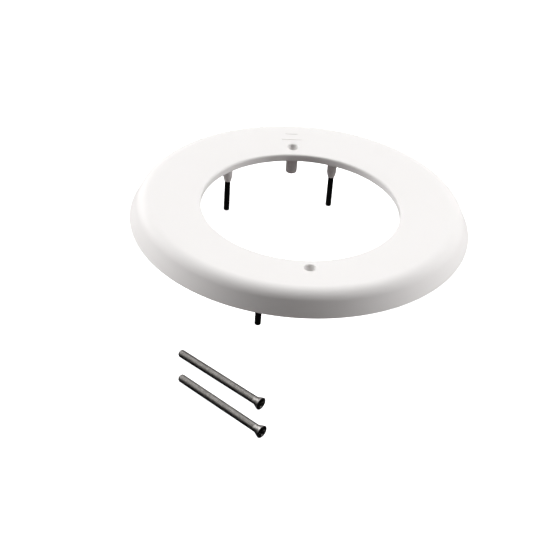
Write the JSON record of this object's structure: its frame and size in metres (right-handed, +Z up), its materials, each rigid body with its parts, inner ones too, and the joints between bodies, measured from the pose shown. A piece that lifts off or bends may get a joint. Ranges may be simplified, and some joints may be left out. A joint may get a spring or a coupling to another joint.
{
  "type": "pool light face ring",
  "caption": "White moulded ring that covers the front of an underwater pool light, on black threaded studs, with loose long countersunk screws.",
  "frame": {"origin": "on the surface the ring's studs and the loose screws stand on, below the middle of the whole kit's box", "axes": "+Z up, out of the ring's face and along its axis; +Y from the loose screws towards the ring, through its two screw holes; +X to the right"},
  "size_m": [0.27, 0.3506, 0.0585],
  "materials": {
    "white_moulding": "smooth moulded white, low gloss",
    "black_steel": "black coated thread",
    "insert_brass": "turned and knurled",
    "screw_steel": "rolled thread, dull stainless"
  },
  "bodies": {
    "face": {"face_ring": "white_moulding", "rear_left_insert": "insert_brass", "rear_right_insert": "insert_brass", "front_left_insert": "insert_brass", "front_right_insert": "insert_brass"},
    "rear_left_stud": {"rear_left_stud": "black_steel"},
    "rear_right_stud": {"rear_right_stud": "black_steel"},
    "front_left_stud": {"front_left_stud": "black_steel"},
    "front_right_stud": {"front_right_stud": "black_steel"},
    "screw_1": {"retaining_screw_1": "screw_steel"},
    "screw_2": {"retaining_screw_2": "screw_steel"}
  },
  "joints": [
    {"name": "rear_left_stud_out", "type": "slide", "parent": "face", "child": "rear_left_stud", "axis": [0, 0, -1], "range_m": [0, 0.008]},
    {"name": "rear_right_stud_out", "type": "slide", "parent": "face", "child": "rear_right_stud", "axis": [0, 0, -1], "range_m": [0, 0.008]},
    {"name": "front_left_stud_out", "type": "slide", "parent": "face", "child": "front_left_stud", "axis": [0, 0, -1], "range_m": [0, 0.008]},
    {"name": "front_right_stud_out", "type": "slide", "parent": "face", "child": "front_right_stud", "axis": [0, 0, -1], "range_m": [0, 0.008]},
    {"name": "screw_1_lift", "type": "slide", "parent": "face", "child": "screw_1", "axis": [0, 0, 1], "range_m": [0, 0.06]},
    {"name": "screw_2_lift", "type": "slide", "parent": "face", "child": "screw_2", "axis": [0, 0, 1], "range_m": [0, 0.06]}
  ]
}
